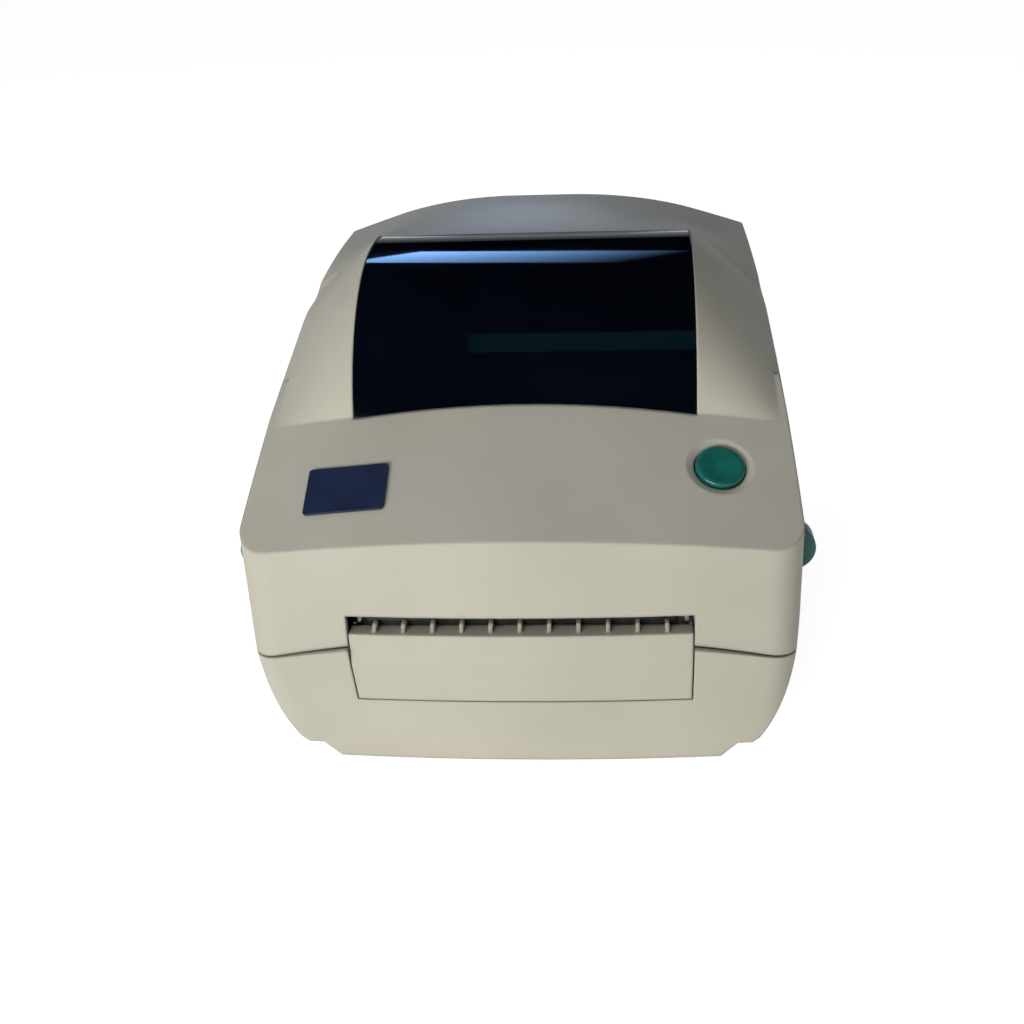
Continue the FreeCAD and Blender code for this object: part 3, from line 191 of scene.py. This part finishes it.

# dark glass-filled nylon inside: matt with pale fibre flecks, and painted shade darkening its creases
chassisLook = {"colour": "#33363A", "shade": "#2B2E31", "grain": 0.8, "broad": 45, "bump": 0.3, "relief": 0.12,
               "rough": (0.55, 0.7), "edge": 0.6, "fleck": "#4A4E53", "fleckAmount": 0.5, "seamShade": "#17181A",
               "seamShadeAmount": 0.5}
dress("glass-filled nylon", chassisLook, "chassis", "hanger_left", "hanger_right", "guide_left", "guide_right")

# natural acetal gears: milky and waxy
acetalLook = {"colour": "#E7E3D6", "shade": "#DED9CA", "grain": 2.0, "broad": 9, "bump": 0.06, "relief": 0.05,
              "rough": (0.35, 0.45), "ior": 1.48, "edge": 0.2}
dress("moulded acetal", acetalLook, "platen_gear", "idler_gear", "motor_pinion", "hanger_pinion",
      "guide_pinion", "platen_bushes")

# zinc-plated sheet: cool grey with a faint crystal bloom
sheetLook = {"colour": "#A9ACAE", "shade": "#8F9396", "grain": 3.5, "broad": 14, "bump": 0.08, "relief": 0.04,
             "rough": (0.3, 0.48), "metallic": 1.0, "edge": 0.3}
dress("zinc-plated steel", sheetLook, "side_plate_left", "side_plate_right", "head_mount", "head_bracket",
      "hanger_axle")

# ground steel bar: fine rings round the shaft
barLook = {"colour": "#B4B5B4", "shade": "#A3A4A3", "grain": 0.7, "broad": 10, "stretch": (1, 0.05, 0.05),
           "bump": 0.1, "relief": 0.02, "rough": (0.18, 0.3), "metallic": 1.0}
dress("ground steel", barLook, "platen_shaft", "motor_shaft", "head_pivot_shaft", "latch_pins", "hinge_pins",
      "idler_post")

# blackened screws and tear bar: dark oil sheen
screwLook = {"colour": "#4A4B4D", "shade": "#3C3D3F", "grain": 0.6, "broad": 5, "bump": 0.15, "relief": 0.04,
             "rough": (0.32, 0.46), "metallic": 1.0}
dress("blackened steel", screwLook, "board_screws", "case_screws", "cover_screws", "tear_bar")

# ground platen rubber: dull black with a fine lay along the roller
rollerLook = {"colour": "#1B1C1D", "shade": "#232425", "grain": 0.5, "broad": 18, "stretch": (0.1, 1, 1),
              "bump": 0.25, "relief": 0.05, "rough": (0.6, 0.75)}
dress("ground silicone rubber", rollerLook, "platen_rubber")

# moulded rubber feet: dusty black
footLook = {"colour": "#242424", "shade": "#2E2D2B", "grain": 0.7, "broad": 6, "bump": 0.3, "relief": 0.08,
            "rough": (0.7, 0.85)}
dress("moulded rubber", footLook, "rubber_feet")

# extruded aluminium heatsink: pale grey with drawn lines along its length
sinkLook = {"colour": "#C3C6C8", "shade": "#B3B7BA", "grain": 0.6, "broad": 20, "stretch": (0.04, 1, 1),
            "bump": 0.15, "relief": 0.03, "rough": (0.28, 0.42), "metallic": 1.0}
dress("extruded aluminium", sinkLook, "head_heatsink")

# glazed alumina strip of the print head
glazeLook = {"colour": "#DCD8CA", "shade": "#CFCBBE", "grain": 1.5, "broad": 22, "bump": 0.03, "relief": 0.02,
             "rough": (0.1, 0.2), "coat": 0.6}
dress("glazed alumina", glazeLook, "head_ceramic")

# glass-epoxy board: solder mask green with copper tracks just showing
boardLook = {"colour": "#1C5233", "shade": "#184629", "grain": 2.2, "broad": 26, "stretch": (0.25, 1, 1),
             "bump": 0.12, "relief": 0.06, "rough": (0.25, 0.38), "coat": 0.3, "fleck": "#2F7048",
             "fleckAmount": 0.7}
dress("glass-epoxy laminate", boardLook, "main_board", "button_board")

# black epoxy and PBT of chips and sockets
blackLook = {"colour": "#1A1B1C", "shade": "#232426", "grain": 0.8, "broad": 10, "bump": 0.2, "relief": 0.06,
             "rough": (0.42, 0.55), "edge": 0.2}
dress("moulded PBT black", blackLook, "board_components", "usb_socket", "power_jack", "switch_frame",
      "power_rocker", "gap_sensor", "button_switch", "parallel_socket")

# nickel-plated shell of the serial socket and the motor can
shellLook = {"colour": "#B9B6AE", "shade": "#A5A29A", "grain": 1.2, "broad": 9, "bump": 0.06, "relief": 0.03,
             "rough": (0.22, 0.36), "metallic": 1.0, "edge": 0.3}
dress("nickel-plated steel", shellLook, "serial_socket", "stepper_motor")

# ivory nylon plug on the print head
plugLook = {"colour": "#DDD6C0", "shade": "#D2CAB2", "grain": 1.0, "broad": 8, "bump": 0.12, "relief": 0.05,
            "rough": (0.45, 0.58), "edge": 0.2}
dress("moulded nylon ivory", plugLook, "head_connector")
print("finishes set on", sum(1 for n in nodes.values() if n.data.materials), "pieces")

# a white room to the eye; mirrors see grey walls under a dark ceiling, and a dim even light falls on the part
roomSet = {"floor": 12.0, "floorGlow": 0.8, "paper": "#F2F1EE", "ambient": 0.22, "daylight": "#F4F6FA",
           "ceiling": "#050506", "ceilingSpan": (0.08, 0.32), "wall": "#A8A9AE", "backdrop": "#FFFFFF"}
floorMesh = bpy.data.meshes.new("floorPlane")
floorShape = bmesh.new()
bmesh.ops.create_grid(floorShape, x_segments=1, y_segments=1, size=roomSet["floor"])
floorShape.to_mesh(floorMesh)
floorShape.free()
floor = bpy.data.objects.new("floorPlane", floorMesh)
scene.collection.objects.link(floor)
floorPaint = bpy.data.materials.new("white paper sweep")
floorPaint.use_nodes = True
tree = floorPaint.node_tree
tree.nodes.clear()
seen = addNode(tree, "ShaderNodeLightPath", {}, {}).outputs
anyView = larger(tree, seen["Is Camera Ray"], seen["Is Glossy Ray"])
anyView = larger(tree, anyView, seen["Is Transmission Ray"])
glow = addNode(tree, "ShaderNodeMath", {"operation": "MULTIPLY"}, {0: anyView})
glow.inputs[1].default_value = roomSet["floorGlow"]
paper = addNode(tree, "ShaderNodeBsdfDiffuse", {"Color": hexColour(roomSet["paper"])}, {})
lit = addNode(tree, "ShaderNodeEmission", {}, {"Strength": glow.outputs[0]})
both = addNode(tree, "ShaderNodeAddShader", {}, {0: paper.outputs[0], 1: lit.outputs[0]})
addNode(tree, "ShaderNodeOutputMaterial", {}, {"Surface": both.outputs[0]})
floorMesh.materials.append(floorPaint)

world = bpy.data.worlds.new("studioRoom")
scene.world = world
world.use_nodes = True
tree = world.node_tree
tree.nodes.clear()
seen = addNode(tree, "ShaderNodeLightPath", {}, {}).outputs
mirrored = larger(tree, seen["Is Glossy Ray"], seen["Is Transmission Ray"])
direction = addNode(tree, "ShaderNodeTexCoord", {}, {}).outputs["Generated"]
upward = addNode(tree, "ShaderNodeSeparateXYZ", {}, {"Vector": direction}).outputs["Z"]
rise = {"From Min": roomSet["ceilingSpan"][0], "From Max": roomSet["ceilingSpan"][1],
        "interpolation_type": "SMOOTHSTEP"}
overhead = addNode(tree, "ShaderNodeMapRange", rise, {"Value": upward}).outputs["Result"]
paints = {"Color1": hexColour(roomSet["wall"]), "Color2": hexColour(roomSet["ceiling"])}
roomColour = addNode(tree, "ShaderNodeMixRGB", paints, {"Fac": overhead}).outputs["Color"]
inMirrors = addNode(tree, "ShaderNodeBackground", {"Strength": 1.0}, {"Color": roomColour})
toEye = addNode(tree, "ShaderNodeBackground", {"Strength": 1.0, "Color": hexColour(roomSet["backdrop"])}, {})
ambient = {"Strength": roomSet["ambient"], "Color": hexColour(roomSet["daylight"])}
lighting = addNode(tree, "ShaderNodeBackground", ambient, {})
soft = addNode(tree, "ShaderNodeMixShader", {}, {0: mirrored, 1: lighting.outputs[0], 2: inMirrors.outputs[0]})
views = {0: seen["Is Camera Ray"], 1: soft.outputs[0], 2: toEye.outputs[0]}
mixed = addNode(tree, "ShaderNodeMixShader", {}, views)
addNode(tree, "ShaderNodeOutputWorld", {}, {"Surface": mixed.outputs[0]})


def softLamp(name, lamp):
    light = bpy.data.lights.new(name, "AREA")
    light.shape = "RECTANGLE"
    light.size, light.size_y = lamp["size"]
    light.energy = lamp["power"]
    light.color = hexColour(lamp["colour"])[:3]
    holder = bpy.data.objects.new(name, light)
    back = (Vector(lamp["place"]) - Vector(lamp["aim"])).normalized()
    across = Vector(lamp.get("across", (1, 0, 0)))
    across = (across - back * across.dot(back)).normalized()
    facing = Matrix((across, back.cross(across), back)).transposed().to_4x4()
    holder.matrix_world = Matrix.Translation(lamp["place"]) @ facing
    if "fade" in lamp:  # brightness from one end of the lamp to the other
        light.use_nodes = True
        tree = light.node_tree
        spot = addNode(tree, "ShaderNodeNewGeometry", {}, {}).outputs["Parametric"]
        along = addNode(tree, "ShaderNodeSeparateXYZ", {}, {"Vector": spot}).outputs["X"]
        strength = ramp(tree, along, (0.0, 1.0), *lamp["fade"])
        tree.links.new(strength, tree.nodes["Emission"].inputs["Strength"])
    holder.visible_diffuse = lamp["diffuse"]
    holder.visible_glossy = lamp["mirrored"]
    scene.collection.objects.link(holder)


softLamp("frontLamp", {"place": (-0.66, -1.34, 0.28), "aim": (0, 0, 0.07), "size": (0.9, 0.36), "power": 15.2,
                       "colour": "#FFFCF8", "diffuse": True, "mirrored": True})
softLamp("topLamp", {"place": (-0.5, 0.1, 1.6), "aim": (0, 0, 0.1), "size": (1.0, 1.0), "power": 2.6,
                     "colour": "#E4EBFC", "diffuse": True, "mirrored": False})
# panes of light that the window mirrors along its top and, faintly, across its middle
softLamp("gleamTop", {"place": (-0.142, 1.085, 1.181), "aim": (-0.01, 0.002, 0.166),
                      "across": (0.34, -0.066, 0.1055), "size": (0.5, 0.36), "power": 10, "colour": "#84B6F8",
                      "fade": (1.25, 0.0), "diffuse": False, "mirrored": True})
softLamp("gleamLow", {"place": (-0.016, -0.72, 1.475), "aim": (0.014, -0.035, 0.144), "size": (0.44, 0.34),
                      "power": 0.8, "colour": "#3F98A0", "diffuse": False, "mirrored": True})
print("light set")

# camera found from the corners of the printer in the photograph
viewSet = {"place": (0.039666, -0.425251, 0.291592), "pitch": 29.38, "yaw": -3.617, "roll": 2.232,
           "lens": 38.987, "shift": (-0.0568, 0.0), "sensor": 36, "near": 0.01}
pitch, yaw, roll = [math.radians(viewSet[k]) for k in ("pitch", "yaw", "roll")]
forward = Vector((math.sin(yaw) * math.cos(pitch), math.cos(yaw) * math.cos(pitch), -math.sin(pitch)))
level = Vector((math.cos(yaw), -math.sin(yaw), 0))
down = forward.cross(level)
right = math.cos(roll) * level + math.sin(roll) * down
up = math.sin(roll) * level - math.cos(roll) * down
cameraData = bpy.data.cameras.new("photoCamera")
cameraData.sensor_width = viewSet["sensor"]
cameraData.lens = viewSet["lens"]
cameraData.shift_x, cameraData.shift_y = viewSet["shift"]
cameraData.clip_start = viewSet["near"]
camera = bpy.data.objects.new("photoCamera", cameraData)
turn = Matrix((right, up, -forward)).transposed().to_4x4()
camera.matrix_world = Matrix.Translation(viewSet["place"]) @ turn
scene.collection.objects.link(camera)
scene.camera = camera
scene.view_settings.view_transform = "Standard"
print("camera set")
